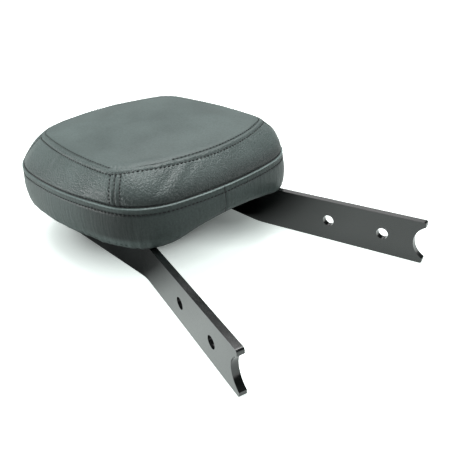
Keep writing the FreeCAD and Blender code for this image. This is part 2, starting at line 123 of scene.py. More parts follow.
def corner_hub(a, a_bow, b, b_bow, rounding):
    # centre of the corner arc that touches two side arcs from inside
    gap = b - a
    d = np.hypot(*gap)
    run = ((a_bow - rounding) ** 2 - (b_bow - rounding) ** 2 + d * d) / (2 * d)
    climb = math.sqrt((a_bow - rounding) ** 2 - run ** 2)
    return a + gap / d * run + np.array([-gap[1], gap[0]]) / d * climb


def outline(ring):
    half, low, high, low_round, high_round, side_bow, low_bow, high_bow, widest = ring
    low_hub = np.array([0, low + low_bow])
    side_hub = np.array([half - side_bow, widest])
    high_hub = np.array([0, high - high_bow])
    low_corner = corner_hub(low_hub, low_bow, side_hub, side_bow, low_round)
    high_corner = corner_hub(side_hub, side_bow, high_hub, high_bow, high_round)
    meetings = ((low_corner, low_hub), (low_corner, side_hub),
                (high_corner, side_hub), (high_corner, high_hub))
    turns = [-math.pi / 2]
    for corner, hub in meetings:
        turns.append(math.atan2(*(corner - hub)[::-1]))
    turns.append(math.pi / 2)
    arcs = ((low_hub, low_bow), (low_corner, low_round), (side_hub, side_bow),
            (high_corner, high_round), (high_hub, high_bow))
    points = []
    for k, (hub, radius) in enumerate(arcs):
        t = turns[k] + (turns[k + 1] - turns[k]) * np.arange(COUNTS[k]) / COUNTS[k]
        points.append(hub + radius * np.stack([np.cos(t), np.sin(t)], 1))
    points = np.concatenate(points + [[[0, high]]])
    return np.concatenate([points, (points * [-1, 1])[::-1][1:-1]])


def rings(rows):
    return np.stack([outline(row) for row in rows])


def smooth_between(knots, values, t):
    """Smooth interpolation without overshoot; values has one row per knot."""
    knots, values = np.asarray(knots, float), np.asarray(values, float)
    slope = np.diff(values, axis=0) / np.diff(knots)[:, None]
    tangent = np.zeros_like(values)
    for i in range(1, len(knots) - 1):
        a, b = slope[i - 1], slope[i]
        same = a * b > 0
        tangent[i] = np.where(same, 2 * a * b / np.where(same, a + b, 1), 0)
    tangent[0], tangent[-1] = slope[0], slope[-1]
    i = np.clip(np.searchsorted(knots, t) - 1, 0, len(knots) - 2)
    w = knots[i + 1] - knots[i]
    u = ((t - knots[i]) / w)[:, None]
    w = w[:, None]
    return ((1 + 2 * u) * (1 - u) ** 2 * values[i] + u * (1 - u) ** 2 * w * tangent[i]
            + u * u * (3 - 2 * u) * values[i + 1] + u * u * (u - 1) * w * tangent[i + 1])


def vault(x):
    radius = (VAULT_HALF ** 2 + VAULT_RISE ** 2) / (2 * VAULT_RISE)
    inside = np.abs(x) < VAULT_HALF
    height = np.sqrt(np.maximum(radius ** 2 - np.where(inside, x, 0) ** 2, 0)) - (radius - VAULT_RISE)
    return np.where(inside, height, 0)


VAULT_BLUR = (-14, -7, 0, 7, 14)


def soft_vault(x):
    # the leather rounds off the corners of the vault
    return sum(vault(x + shift) for shift in VAULT_BLUR) / len(VAULT_BLUR)


def normals(p):
    """Normals of a grid of points, rows by columns: outward where the rows run up or in."""
    du = np.gradient(p, axis=0)
    dv = np.roll(p, -1, 1) - np.roll(p, 1, 1)
    n = np.cross(dv, du)
    return n / np.maximum(np.linalg.norm(n, axis=2, keepdims=True), TINY)


def run_length(p, axis):
    step = np.linalg.norm(np.diff(p, axis=axis), axis=2)
    zero = np.zeros_like(step[:1] if axis == 0 else step[:, :1])
    return np.concatenate([zero, np.cumsum(step, axis=axis)], axis=axis)


def unit(v):
    return v / np.linalg.norm(v, axis=-1, keepdims=True)


def seam_turn(x, y):
    return np.degrees(np.arctan2(x, -(y - HUB_Y))) % 360


def from_corner_seam(x, y, turn):
    """Distances in millimetres along one corner seam from the hub, and across it."""
    a = math.radians(turn)
    dx, dy = math.sin(a), -math.cos(a)
    return x * dx + (y - HUB_Y) * dy, x * dy - (y - HUB_Y) * dx


def corner_distance(x, y):
    """Distance across the nearest corner seam."""
    best = np.full(np.shape(x), FAR)
    for turn in CORNER_TURNS:
        along, across = from_corner_seam(x, y, turn)
        best = np.minimum(best, np.where(along > 0, np.abs(across), FAR))
    return best


# meshes
def link(name, data):
    obj = bpy.data.objects.new(name, data)
    bpy.context.scene.collection.objects.link(obj)
    return obj


def mesh_object(name, verts, faces):
    mesh = bpy.data.meshes.new(name)
    mesh.from_pydata(verts, [], faces)
    mesh.update()
    mesh.shade_smooth()
    return link(name, mesh)


# the vertex colour of painted shade and painted highlight on the leather, and the most it may lighten
PAINTED_LIGHT, PAINTED_LIGHT_MOST = "shade", 4.0


def grid_mesh(name, p, closed=True, flip=False, cap=None, shade=None):
    """A mesh of a grid of points; closed joins its last column to its first, cap closes its last row."""
    rows, cols = p.shape[:2]
    r = np.arange(rows - 1)[:, None]
    c = np.arange(cols if closed else cols - 1)[None, :]
    after = (c + 1) % cols
    a, b = r * cols + c, r * cols + after
    d, e = (r + 1) * cols + c, (r + 1) * cols + after
    faces = np.stack([a, d, e, b] if flip else [a, b, e, d], -1).reshape(-1, 4).tolist()
    verts = (p.reshape(-1, 3) * MM).tolist()
    if cap is not None:
        top = len(verts)
        verts.append([float(v) * MM for v in cap])
        last = (rows - 1) * cols
        faces += [[last + i, last + (i + 1) % cols, top] for i in range(cols)]
    obj = mesh_object(name, verts, faces)
    # the painted shade and painted highlight go on as a vertex colour
    if shade is not None:
        values = np.ones((len(verts), 4))
        values[:shade.size, :3] = np.clip(shade, 0, PAINTED_LIGHT_MOST).reshape(-1, 1)
        layer = obj.data.color_attributes.new(PAINTED_LIGHT, "FLOAT_COLOR", "POINT")
        layer.data.foreach_set("color", values.ravel())
    return obj


# pad surface: the three stretches of the cover, each a grid of points
CROWN_ROWS, BOXING_ROWS, BAND_ROWS = 60, 46, 64
CROWN_REACH, CROWN_POWER = 0.985, 2.2
BOXING_MIDDLE_SHARE, BOXING_MIDDLE_RISE = 0.54, 13.6
BAND_KNOTS = [0, 0.22, 0.47, 0.70, 0.79, 0.86, 0.93, 1.0]
BAND_INSET = [0.0, -2.0, -3.0, -2.1, -1.1, 0.6, 2.8, 5.2]
BAND_DROP = [0.0, 0.22, 0.52, 0.78, 0.875, 0.945, 0.985, 1.0]
# rows of the band lie closer together near the welt
BAND_CROWDING = 1.25


def with_height(flat, z):
    return np.concatenate([flat, np.broadcast_to(z, flat.shape[:2])[:, :, None]], 2)


def crown_grid():
    scale = np.cos(np.linspace(0, CROWN_REACH, CROWN_ROWS) * math.pi / 2)
    edge = outline(FACE)
    middle = np.array([0, (FACE[1] + FACE[2]) / 2])
    flat = middle + (edge - middle)[None] * scale[:, None, None]
    return with_height(flat, SEAM_Z + CROWN * (1 - scale[:, None] ** CROWN_POWER))


def boxing_grid():
    between = WELT * (1 - BOXING_MIDDLE_SHARE) + FACE * BOXING_MIDDLE_SHARE
    knots = [np.append(WELT, WELT_Z),
             np.append(between, WELT_Z + BOXING_MIDDLE_RISE),
             np.append(FACE, SEAM_Z)]
    rows = smooth_between([0, 0.5, 1], knots, np.linspace(0, 1, BOXING_ROWS))
    return with_height(rings(rows[:, :-1]), rows[:, -1:])


def band_grid():
    v = np.linspace(0, 1, BAND_ROWS) ** BAND_CROWDING
    rows = smooth_between(BAND_KNOTS, np.stack([BAND_INSET, BAND_DROP], 1), v)
    flat = rings(WELT + rows[:, :1] * INWARD)
    base = BAR_WIDTH + soft_vault(flat[:, :, 0])
    return with_height(flat, WELT_Z - (WELT_Z - base) * rows[:, 1:])


def band_joint(p):
    # distance across the joint of the band
    return np.where(p[:, :, 1] < HUB_Y, p[:, :, 0] - JOINT_X, FAR)


def puckers(along):
    # one swell for each stitch
    return np.cos(2 * math.pi * along / STITCH)


# where the face rolls over its seam at one low corner and hides the stitches: how much of the groove it
# fills, and how much of the painted seam shade it takes away
ROLL_X, ROLL_Y = -66.0, -27.0
ROLL_FILL, ROLL_UNSHADE = 0.75, 0.8


def rolled_over(x, y):
    return fall(np.hypot(x - ROLL_X, y - ROLL_Y), end=30, over=8)


def shape_crown():
    p = crown_grid()
    x, y = p[:, :, 0], p[:, :, 1]
    inward = run_length(p, 0)
    along = run_length(p[:1], 1)
    lift = ridge(inward, height=-0.9, width=1.1) * (1 - ROLL_FILL * rolled_over(x, y))
    lift += ridge(inward, at=5, height=0.35, width=4)
    lift += ridge(inward, at=1, height=0.18, width=2.2) * puckers(along)
    lift += 0.3 * noise(x / 40, y / 40, layer=1.5) * slope_up(inward, start=0, over=20)
    lift += ridge(inward, at=5, height=0.35, width=7) * noise(along / 17, inward / 30, layer=7.5)
    return p + normals(p) * lift[:, :, None]


# folds of the bottom panel: place across, slant, width, height,
# and the share of the panel's height where each starts and ends
FOLDS = ((-44.0, 1.3, 7.5, 0.60, 0.05, 0.97), (-55.0, 1.5, 5.2, -0.62, 0.10, 0.95),
         (-35.0, 1.2, 4.5, -0.46, 0.25, 0.98), (-66.0, 0.9, 5.0, 0.36, 0.30, 0.97),
         (-25.0, 1.1, 5.0, 0.30, 0.40, 0.98), (6.0, 0.9, 6.0, 0.24, 0.40, 0.96),
         (30.0, -0.4, 6.0, -0.24, 0.35, 0.94), (48.0, -0.8, 5.0, 0.30, 0.30, 0.94))
FOLD_RUN, FOLD_SWAY = 30.0, 2.2
FOLD_IN, FOLD_OUT = 0.35, 0.25
# the bottom panel lies below this height on the pad
BOTTOM_Y = 20.0
# swell of every panel, and what is added towards the low end
SWELL, LOW_SWELL, SWELL_POWER = 0.2, 1.9, 0.8


def shape_boxing():
    p = boxing_grid()
    x, y = p[:, :, 0], p[:, :, 1]
    up = run_length(p, 0)
    down = up[-1:] - up
    share = up / up[-1:]
    along = run_length(p[:1], 1)
    lift = ridge(up, height=-1.3, width=1.2)
    lift += ridge(down, height=-0.9, width=1.0) * (1 - ROLL_FILL * rolled_over(x, y))
    # rolled ridge between the face seam and its topstitch
    lift += ridge(down, at=3, height=0.55, width=1.8) + ridge(down, at=TOP_ROW, height=-0.35, width=0.8)
    lift += ridge(down, at=TOP_ROW - 0.8, height=0.2, width=1.6) * puckers(along)
    lift += ridge(down, at=4, height=0.28, width=4) * noise(along / 8, down / 9, layer=3.5)
    # corner seams with a stitch row on each side
    beside = corner_distance(x, y)
    corner = ridge(beside, height=-0.9, width=0.8) + ridge(beside, at=2.2, height=0.4, width=1.4)
    corner += ridge(beside, at=SIDE_ROW, height=-0.55, width=0.8)
    lift += corner * slope_up(down, start=TOP_ROW, over=2)
    # soft swell of the panel and the pull towards its seams
    low_end = slope_down(y, end=10, over=30)
    lift += (SWELL + LOW_SWELL * low_end) * np.sin(math.pi * share ** SWELL_POWER)
    lift += 0.45 * noise(x / 26, y / 26, layer=share * 2 + 3)
    # folds on the bottom panel
    bottom = y < BOTTOM_Y
    for place, slant, width, height, low, high in FOLDS:
        centre = place + slant * (share - 0.5) * FOLD_RUN + FOLD_SWAY * noise(share * 3, place, layer=2.5)
        reach = rise(share, low, FOLD_IN) * fall(share, high, FOLD_OUT)
        lift += bottom * ridge(x - centre, height=height, width=width) * reach
    # small pleats below the topstitch
    pleats = ridge(down, at=TOP_ROW + 3, height=0.3, width=3) * noise(along / 4.5, down / 14, layer=4.5)
    lift += bottom * pleats
    # light folds elsewhere, where the panels turn the corners
    folds = 0.35 * noise(seam_turn(x, y) / 3.2, share * 1.5, layer=5.5) * np.sin(math.pi * share)
    lift += ~bottom * folds
    return p + normals(p) * lift[:, :, None]


# reach of the gathers round a corner
GATHER_REACH = 46.0


def shape_band():
    p = band_grid()
    x, y = p[:, :, 0], p[:, :, 1]
    down = run_length(p, 0)
    share = down / down[-1:]
    along = run_length(p[:1], 1)
    # groove of the welt and the lip below it
    lift = ridge(down, height=-1.0, width=0.8) + ridge(down, at=1.9, height=1.1, width=0.9)
    lift += ridge(down, at=1.8, height=0.22, width=1.3) * puckers(along)
    lift += ridge(down, at=2, height=0.25, width=1.6) * noise(along / 6, 4.5, layer=1.5)
    # topstitch
    lift += ridge(down, at=BAND_ROW, height=-0.5, width=0.9)
    lift += ridge(down, at=BAND_ROW - 2.2, height=0.2, width=1.6)
    lift += ridge(down, at=BAND_ROW, height=0.18, width=1.6) * puckers(along)
    # joint of the band
    across = band_joint(p)
    joint = ridge(across, height=-0.9, width=0.8) + ridge(across, at=2.2, height=0.35, width=1.6)
    joint += ridge(across, at=-2.2, height=0.3, width=1.6)
    lift += joint * slope_up(down, start=4, over=4)
    # gathers where the leather is drawn round the corners and under the pan
    turning = bell(corner_distance(x, y), GATHER_REACH)
    pull = slope_up(share, start=0.35, over=0.5)
    gathers = noise(along / 2.3, share * 1.2, layer=8.5) + noise(along / 6.5, share * 1.6, layer=2.5)
    lift += 0.5 * turning * pull * gathers
    lift += 0.6 * noise(along / 31, share * 1.4, layer=6.5)
    lift += 0.35 * pull * noise(along / 11, share * 2.2, layer=9.5)
    return p - normals(p) * lift[:, :, None]


# materials
def new_material(name):
    material = bpy.data.materials.new(name)
    material.use_nodes = True
    tree = material.node_tree
    return material, tree, tree.nodes["Principled BSDF"]


def put(tree, socket, value):
    # links another node's output, or sets a number or a colour
    if isinstance(value, bpy.types.NodeSocket):
        tree.links.new(value, socket)
    else:
        socket.default_value = value


def add(tree, kind, **inputs):
    node = tree.nodes.new(kind)
    for key, value in inputs.items():
        put(tree, node.inputs[key], value)
    return node


def object_place(tree):
    return tree.nodes.new("ShaderNodeTexCoord").outputs["Object"]


def grain(tree, where, scale, detail, output="Fac"):
    return add(tree, "ShaderNodeTexNoise", Vector=where, Scale=scale, Detail=detail).outputs[output]


def ramp(tree, source, stops):
    node = tree.nodes.new("ShaderNodeValToRGB")
    elements = node.color_ramp.elements
    while len(elements) < len(stops):
        elements.new(0.5)
    for element, (place, colour) in zip(elements, stops):
        element.position = place
        element.color = colour
    tree.links.new(source, node.inputs[0])
    return node.outputs[0]


def grey_ramp(tree, source, stops):
    return ramp(tree, source, [(place, (v, v, v, 1)) for place, v in stops])


def operate(tree, kind, operation, values, output=0):
    node = tree.nodes.new(kind)
    node.operation = operation
    for socket, value in zip(node.inputs, values):
        put(tree, socket, value)
    return node.outputs[output]


def number(tree, operation, *values):
    return operate(tree, "ShaderNodeMath", operation, values)


def vector(tree, operation, *values, output="Vector"):
    return operate(tree, "ShaderNodeVectorMath", operation, values, output)


def colour_mix(tree, factor, a, b, blend="MIX"):
    node = tree.nodes.new("ShaderNodeMix")
    node.data_type = "RGBA"
    node.blend_type = blend
    put(tree, node.inputs["Factor"], factor)
    put(tree, node.inputs["A"], a)
    put(tree, node.inputs["B"], b)
    return node.outputs["Result"]


def bump(tree, height, strength, depth, over=None, invert=False):
    node = add(tree, "ShaderNodeBump", Height=height, Strength=strength, Distance=depth)
    node.invert = invert
    if over is not None:
        tree.links.new(over, node.inputs["Normal"])
    return node.outputs[0]


def scaled(tone, factor):
    return tuple(c * factor for c in tone) + (1,)


def finish_with(tree, shader, colour, gloss, relief):
    tree.links.new(colour, shader.inputs["Base Color"])
    tree.links.new(gloss, shader.inputs["Roughness"])
    tree.links.new(relief, shader.inputs["Normal"])


# how far the pebbles are bent out of shape, in metres, and how the streaks are drawn out downwards
PEBBLE_WARP, STREAK_SCALE = (0.0022, 0.0022, 0.0022), (1.0, 1.0, 0.1)


def leather(name, tone, pebble, rough, sheen=0.5, gather=0.0, cell=620.0, depth=0.0005):
    material, tree, shader = new_material(name)
    where = object_place(tree)
    cloud = grain(tree, where, scale=22.0, detail=4.0)
    fine = grain(tree, where, scale=1500.0, detail=3.0)
    warp = grain(tree, where, scale=260.0, detail=2.0, output="Color")
    bent = vector(tree, "MULTIPLY_ADD", warp, PEBBLE_WARP, where)
    cells = tree.nodes.new("ShaderNodeTexVoronoi")
    cells.feature = "SMOOTH_F1"
    cells.inputs["Scale"].default_value = cell
    cells.inputs["Smoothness"].default_value = 0.35
    tree.links.new(bent, cells.inputs["Vector"])
    pebbles = cells.outputs["Distance"]
    colour = ramp(tree, cloud, [(0.3, scaled(tone, 0.86)), (0.7, scaled(tone, 1.14))])
    crease = grey_ramp(tree, pebbles, [(0.25, 1.0), (0.75, 0.72)])
    colour = colour_mix(tree, 0.55, colour, crease, "MULTIPLY")
    # painted shade and painted highlight from the vertex colour: darker in the seam grooves, along the
    # stitches, towards the welt and in the low corners, paler along the lip below the welt
    painted_light_node = tree.nodes.new("ShaderNodeAttribute")
    painted_light_node.attribute_name = PAINTED_LIGHT
    colour = colour_mix(tree, 1.0, colour, painted_light_node.outputs["Color"], "MULTIPLY")
    gloss = grey_ramp(tree, cloud, [(0.3, rough - 0.05), (0.7, rough + 0.06)])
    relief = bump(tree, pebbles, strength=pebble, depth=depth, invert=True)
    relief = bump(tree, fine, strength=0.12, depth=0.0002, over=relief)
    if gather:
        # upright streaks where the leather is drawn down
        stretched = vector(tree, "MULTIPLY", where, STREAK_SCALE)
        streaks = grain(tree, stretched, scale=330.0, detail=2.0)
        relief = bump(tree, streaks, strength=gather, depth=0.0014, over=relief)
    finish_with(tree, shader, colour, gloss, relief)
    shader.inputs["Specular IOR Level"].default_value = sheen
    return material


def paint(name, tone, rough):
    material, tree, shader = new_material(name)
    where = object_place(tree)
    peel = grain(tree, where, scale=900.0, detail=2.0)
    cloud = grain(tree, where, scale=35.0, detail=5.0)
    colour = ramp(tree, cloud, [(0.3, scaled(tone, 0.8)), (0.75, scaled(tone, 1.25))])
    gloss = grey_ramp(tree, cloud, [(0.25, rough - 0.04), (0.8, rough + 0.08)])
    finish_with(tree, shader, colour, gloss, bump(tree, peel, strength=0.10, depth=0.0003))
    shader.inputs["IOR"].default_value = 1.6
    shader.inputs["Coat Weight"].default_value = 0.85
    shader.inputs["Coat Roughness"].default_value = 0.16
    return material


def simple(name, low, high, scale, rough, metal=0.0, strength=0.1):
    material, tree, shader = new_material(name)
    specks = grain(tree, object_place(tree), scale=scale, detail=5.0)
    colour = ramp(tree, specks, [(0.3, low + (1,)), (0.72, high + (1,))])
    gloss = grey_ramp(tree, specks, [(0.25, rough - 0.06), (0.75, rough + 0.08)])
    finish_with(tree, shader, colour, gloss, bump(tree, specks, strength=strength, depth=0.0003))
    shader.inputs["Metallic"].default_value = metal
    return material


TONE = (0.140, 0.180, 0.173)
# the band's leather is the face's tone made darker: painted shade of the upright band
SHADED_BAND_TONE = tuple(0.86 * c for c in TONE)
face_leather = leather("face_leather", TONE, pebble=0.10, rough=0.50)
boxing_leather = leather("boxing_leather", TONE, pebble=0.80, rough=0.39, cell=660.0, depth=0.0006)
band_leather = leather("band_leather", SHADED_BAND_TONE, pebble=0.16, rough=0.42, sheen=0.3, gather=0.45)
black_paint = paint("black_paint", (0.008, 0.010, 0.010), rough=0.20)
# dark thread, also the colour of the painted shadow tube along the welt
thread_and_shadow_dark = simple("thread_and_shadow_dark", (0.010, 0.012, 0.012), (0.03, 0.034, 0.034), 2500.0, rough=0.45)
pan_plastic = simple("pan_plastic", (0.016, 0.016, 0.017), (0.03, 0.03, 0.032), 480.0,
                     rough=0.55, strength=0.3)
foam_grain = simple("foam_grain", (0.55, 0.48, 0.3), (0.75, 0.68, 0.46), 700.0, rough=0.9, strength=0.5)
zinc = simple("zinc", (0.42, 0.43, 0.43), (0.66, 0.66, 0.64), 300.0, rough=0.34, metal=1.0)
weld_paint = paint("weld_paint", (0.013, 0.014, 0.015), rough=0.42)


def dress(material, *names):
    for name in names:
        data = nodes[name].data
        data.materials.clear()
        data.materials.append(material)


painted = [name for name in nodes if name == "upright_bar" or name.startswith("pad_tab")]
dress(black_paint, *painted)
dress(weld_paint, "tab_welds")
dress(pan_plastic, "base_pan")
dress(foam_grain, "foam_core")
dress(zinc, "pad_screws", "flat_washers", "spring_washers", "tee_nuts")

# softened edges on the painted bar and tabs: lengths in metres, least angle in degrees,
# and how much the large faces keep their own shade
MERGE_WITHIN, EDGE_WIDTH, EDGE_STEPS, EDGE_ANGLE, FACE_WEIGHT = 0.00002, 0.0007, 3, 35, 100
for name in painted:
    merge = nodes[name].modifiers.new("merge", "WELD")
    merge.merge_threshold = MERGE_WITHIN
    soft = nodes[name].modifiers.new("soft_edge", "BEVEL")
    soft.width = EDGE_WIDTH
    soft.segments = EDGE_STEPS
    soft.limit_method = "ANGLE"
    soft.angle_limit = math.radians(EDGE_ANGLE)
    even = nodes[name].modifiers.new("even_shade", "WEIGHTED_NORMAL")
    even.weight = FACE_WEIGHT


def take(obj, material, slot, *stands_for):
    obj.data.materials.append(material)
    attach(obj, "root")
    if stands_for:
        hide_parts(*stands_for)
    return obj


def tree_of(*names):
    verts, faces = [], []
    for name in names:
        obj = nodes[name]
        base = len(verts)
        verts += [obj.matrix_world @ v.co for v in obj.data.vertices]
        faces += [[base + i for i in poly.vertices] for poly in obj.data.polygons]
    return BVHTree.FromPolygons(verts, faces)


# how far a point looks for what fills the cover, in metres, and its least height over that
FILL_REACH, FILL_GAP = 0.004, 0.25


def lie_on(points, tree):
    """The cover lies on what fills it: points that would sink in are lifted back out."""
    out = points.reshape(-1, 3).copy()
    for i, p in enumerate(out):
        spot, normal, _, _ = tree.find_nearest(Vector(p * MM), FILL_REACH)
        if spot is None:
            continue
        if (Vector(p * MM) - spot).dot(normal) / MM < FILL_GAP:
            out[i] = np.array(spot) / MM + np.array(normal) * FILL_GAP
    return out.reshape(points.shape)


filling = tree_of("foam_core", "base_pan")
crown_points = lie_on(shape_crown(), filling)
boxing_points = lie_on(shape_boxing(), filling)
band_points = lie_on(shape_band(), filling)
# neighbouring panels share their edge, so that no slit shows
seam_edge = (crown_points[0] + boxing_points[-1]) / 2
crown_points[0] = boxing_points[-1] = seam_edge
welt_edge = (boxing_points[0] + band_points[0]) / 2
boxing_points[0] = band_points[0] = welt_edge
# distances along the cover before it is drawn in and lifted
crown_run = run_length(crown_grid(), 0)
box_up = run_length(boxing_grid(), 0)
box_down = box_up[-1:] - box_up
band_down = run_length(band_grid(), 0)

# painted shade in the groove of the face seam, less where the face rolls over it
face_roll = rolled_over(crown_points[:, :, 0], crown_points[:, :, 1])
face_shade = 1 + ridge(crown_run, height=-0.30, width=0.9) * (1 - ROLL_UNSHADE * face_roll)
face = grid_mesh("cover_face", crown_points, cap=crown_points[-1].mean(0), shade=face_shade)
take(face, face_leather, "leather", "center_panel")

box_x, box_y = boxing_points[:, :, 0], boxing_points[:, :, 1]
box_gap = corner_distance(box_x, box_y)
# painted shade in the welt groove, the face seam groove, along the topstitch and beside the corner seams
box_shade = 1 + ridge(box_up, height=-0.6, width=1.3)
box_shade += ridge(box_down, height=-0.30, width=0.8) * (1 - ROLL_UNSHADE * rolled_over(box_x, box_y))
box_shade += ridge(box_down, at=TOP_ROW, height=-0.08, width=0.7)
corner_shade = ridge(box_gap, height=-0.45, width=0.6) + ridge(box_gap, at=SIDE_ROW, height=-0.35, width=0.6)
box_shade += (box_down > TOP_ROW) * corner_shade
# painted shade towards the welt on every panel, most on the low one
WELT_SHADE, LOW_WELT_SHADE = 0.2, 0.45
painted_welt_shade = WELT_SHADE + LOW_WELT_SHADE * fall(box_y, end=10, over=40)
box_shade *= 1 - painted_welt_shade * bell(box_up, width=12)
boxing = grid_mesh("cover_boxing", boxing_points, shade=box_shade)
take(boxing, boxing_leather, "leather", "boxing_bottom", "boxing_left", "boxing_right", "boxing_top")

# the band goes on under the pan as a hem, then turns up to its cut edge: reach and rise of each row
HEM_ROWS = ((1.5, -0.25), (3.0, -0.3), (5.0, -0.25), (7.5, -0.1), (9.2, 0.0), (9.6, 0.5), (9.7, 1.5))
# the hem is even up to a reach, then wavers; it hangs clear of the pan and ripples
HEM_EVEN, HEM_WAVER, HEM_CLEAR, HEM_RIPPLE = 5.0, 0.7, 0.3, 0.2


def with_hem(points):
    edge = points[-1]
    inward = unit(np.array([0.0, PAD_MIDDLE]) - edge[:, :2])
    along = run_length(points[-1:], 1)[0]
    rows = []
    for reach, lifted in HEM_ROWS:
        waver = HEM_WAVER * noise(along / 14, 3.5, layer=1.5) * (reach > HEM_EVEN)
        spot = edge[:, :2] + inward * (reach + waver)[:, None]
        ripple = HEM_RIPPLE * noise(along / 4, reach / 4, layer=2.5)
        z = BAR_WIDTH + vault(spot[:, 0]) + lifted + HEM_CLEAR + ripple
        rows.append(np.concatenate([spot, z[:, None]], 1))
    return np.concatenate([points, np.stack(rows)], 0)


band_all = with_hem(band_points)
band_x, band_y = band_all[:, :, 0], band_all[:, :, 1]
hem_run = run_length(band_all[len(band_points) - 1:], 0)[1:]
band_run = np.concatenate([band_down, band_down[-1:] + hem_run])
band_share = band_run / band_run[len(band_points) - 1]
# painted shade in the low corners and along the turned edge, painted highlight on the strip above that edge
# and along the lip
PAINTED_CORNER_SHADE, PAINTED_EDGE_SHADE, STRIP_HIGHLIGHT = 0.72, 0.5, 0.12
LIP_HIGHLIGHT, LOW_LIP_HIGHLIGHT = 0.7, 1.2
low_corner = bell(corner_distance(band_x, band_y), width=34) * fall(band_y, end=40, over=40)
low_corner *= rise(band_share, start=0.05, over=0.1) * fall(band_share, end=0.74, over=0.12)
band_shade = 1 - PAINTED_CORNER_SHADE * low_corner + STRIP_HIGHLIGHT * rise(band_share, start=0.68, over=0.1)
band_shade -= PAINTED_EDGE_SHADE * rise(band_share, start=0.84, over=0.03)
band_shade += (LIP_HIGHLIGHT + LOW_LIP_HIGHLIGHT * fall(band_y, end=40, over=70)) * ridge(band_run, at=1.4, width=0.4)
# painted shade in the seam and the topstitch
band_shade += ridge(band_run, height=-0.6, width=0.7) + ridge(band_run, at=BAND_ROW, height=-0.2, width=0.7)
band = grid_mesh("cover_band", band_all, flip=True, shade=band_shade)
take(band, band_leather, "leather", "side_band")


# stitches: short bent threads laid on the surface
def at_distance(points, run, distance, runs_up):
    """One point and normal per column, where the run along the column reaches the distance."""
    n = normals(points) if runs_up else -normals(points)
    cols = points.shape[1]
    out, facing = np.zeros((cols, 3)), np.zeros((cols, 3))
    for c in range(cols):
        i = np.searchsorted(run[:, c], distance) - 1
        i = min(max(i, 0), len(run) - 2)
        t = (distance - run[i, c]) / max(run[i + 1, c] - run[i, c], TINY)
        out[c] = points[i, c] * (1 - t) + points[i + 1, c] * t
        facing[c] = n[i, c]
    return out, facing


def looped(p):
    return np.concatenate([p, p[:1]])


def resample(line, facing):
    """The line as a function of its run, with the pitch and the count of the stitches that fit on it."""
    step = np.linalg.norm(np.diff(line, axis=0), axis=1)
    run = np.concatenate([[0], np.cumsum(step)])
    count = max(int(round(run[-1] / STITCH)), 1)

    def at(s):
        p = np.stack([np.interp(s, run, line[:, k]) for k in range(3)], -1)
        m = np.stack([np.interp(s, run, facing[:, k]) for k in range(3)], -1)
        return p, unit(m)

    return at, run[-1] / count, count


# points along and round a thread, how its ends sink and thin, and how far its middle bows out
THREAD_STEPS, THREAD_SIDES = 5, 6
THREAD_SINK, THREAD_BOW, THREAD_END = 0.30, 0.55, 0.55


def stitches(name, lines, thick=0.5, fill=0.58, proud=0.12, hidden=None):
    verts, faces = [], []
    arc = np.sin(np.linspace(0, math.pi, THREAD_STEPS))
    girth = thick * (THREAD_END + (1 - THREAD_END) * arc)
    spin = 2 * math.pi * np.arange(THREAD_SIDES) / THREAD_SIDES
    ring = np.arange(THREAD_SIDES)
    for line, facing in lines:
        at, pitch, count = resample(line, facing)
        for k in range(count):
            start = (k + (1 - fill) / 2) * pitch
            p, m = at(start + np.linspace(0, fill * pitch, THREAD_STEPS))
            if hidden is not None and hidden(*p[THREAD_STEPS // 2, :2]) > 0.5:
                continue
            p = p + m * (proud - THREAD_SINK + THREAD_BOW * arc)[:, None]
            t = unit(np.gradient(p, axis=0))
            b = unit(np.cross(t, m))
            w = np.cross(t, b)
            base = len(verts)
            for i in range(THREAD_STEPS):
                round_it = np.cos(spin)[:, None] * b[i] + np.sin(spin)[:, None] * w[i]
                verts += ((p[i] + round_it * girth[i]) * MM).tolist()
            for i in range(THREAD_STEPS - 1):
                here = base + i * THREAD_SIDES + ring
                after = np.roll(here, -1)
                faces += np.stack([here, after, after + THREAD_SIDES, here + THREAD_SIDES], 1).tolist()
            faces.append((base + ring[::-1]).tolist())
            faces.append((base + (THREAD_STEPS - 1) * THREAD_SIDES + ring).tolist())
    return take(mesh_object(name, verts, faces), thread_and_shadow_dark, "leather")


def tube(name, line, across, up, radius):
    """A thin dark tube along a seam: along the welt it is painted shadow in the seam's gap, along the band
    joint it is the dark joint.
    """
    spin = 2 * math.pi * np.arange(THREAD_SIDES + 1) / THREAD_SIDES
    round_it = across[None] * np.cos(spin)[:, None, None] + up[None] * np.sin(spin)[:, None, None]
    return take(grid_mesh(name, line[None] + radius * round_it, closed=False), thread_and_shadow_dark, "leather")


def round_line(points, run, distance, runs_up):
    # one closed line round the pad
    line, facing = at_distance(points, run, distance, runs_up)
    return [(looped(line), looped(facing))]


# a dark tube along the welt: painted shadow in the welt's gap
welt_way = unit(np.roll(welt_edge, -1, 0) - np.roll(welt_edge, 1, 0))
welt_out = np.cross(welt_way, [0, 0, 1.0])
welt_up = np.cross(welt_out, welt_way)
WELT_PROUD, WELT_RADIUS, JOINT_RADIUS = 0.15, 0.5, 0.42
welt_at = welt_edge + welt_out * WELT_PROUD
tube("welt_shadow_line", looped(welt_at), looped(welt_out), looped(welt_up), WELT_RADIUS)
# the joint line starts a few rows below the welt
JOINT_START = 6
joint_column = int(np.argmin(np.abs(band_joint(band_points)[0])))
joint_at = band_points[JOINT_START:, joint_column]
joint_out = -normals(band_points)[JOINT_START:, joint_column]
joint_side = unit(np.cross(np.gradient(joint_at, axis=0), joint_out))
tube("band_joint_line", joint_at, joint_side, joint_out, JOINT_RADIUS)
